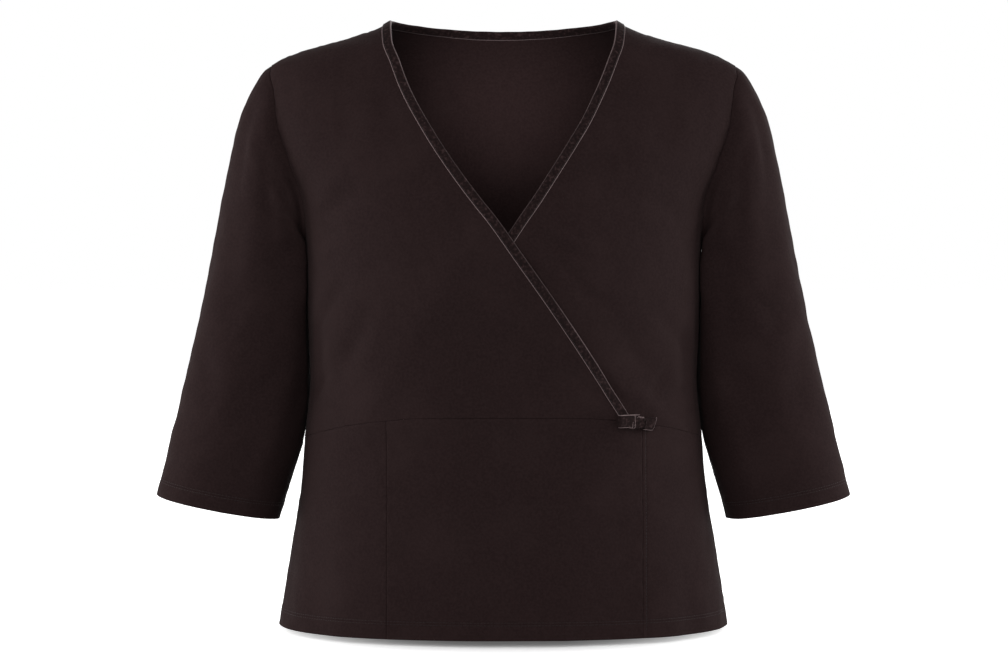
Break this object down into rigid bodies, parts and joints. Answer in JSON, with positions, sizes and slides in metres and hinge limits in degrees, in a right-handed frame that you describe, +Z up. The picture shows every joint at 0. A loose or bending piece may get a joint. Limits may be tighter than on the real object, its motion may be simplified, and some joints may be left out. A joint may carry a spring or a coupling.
{
  "type": "wrap top",
  "caption": "Hollow jersey wrap top with crossed fronts, a ribbon-bound V neck, a small ribbon bow on a raised waist seam, a flared peplum and wide elbow-length sleeves.",
  "frame": {"origin": "middle of the neck opening, level with the neck points of the two shoulder seams, where the wearer's shoulders carry the top", "axes": "+X towards the wearer's left, +Y towards the back, +Z up; the fronts face -Y"},
  "size_m": [0.732, 0.311, 0.6315],
  "materials": {
    "jersey": "smooth matt knit, very dark brown",
    "velvet_ribbon": "short velvet pile between two fine woven edges, very dark brown"
  },
  "bodies": {
    "root": {"over_front": "jersey", "under_front": "jersey", "back_bodice": "jersey", "peplum_front": "jersey", "peplum_side_right": "jersey", "peplum_side_left": "jersey", "peplum_back": "jersey", "sleeve_right": "jersey", "sleeve_left": "jersey", "neck_binding": "velvet_ribbon", "bow_knot": "velvet_ribbon", "bow_loop_left": "velvet_ribbon", "bow_loop_right": "velvet_ribbon"}
  },
  "joints": []
}
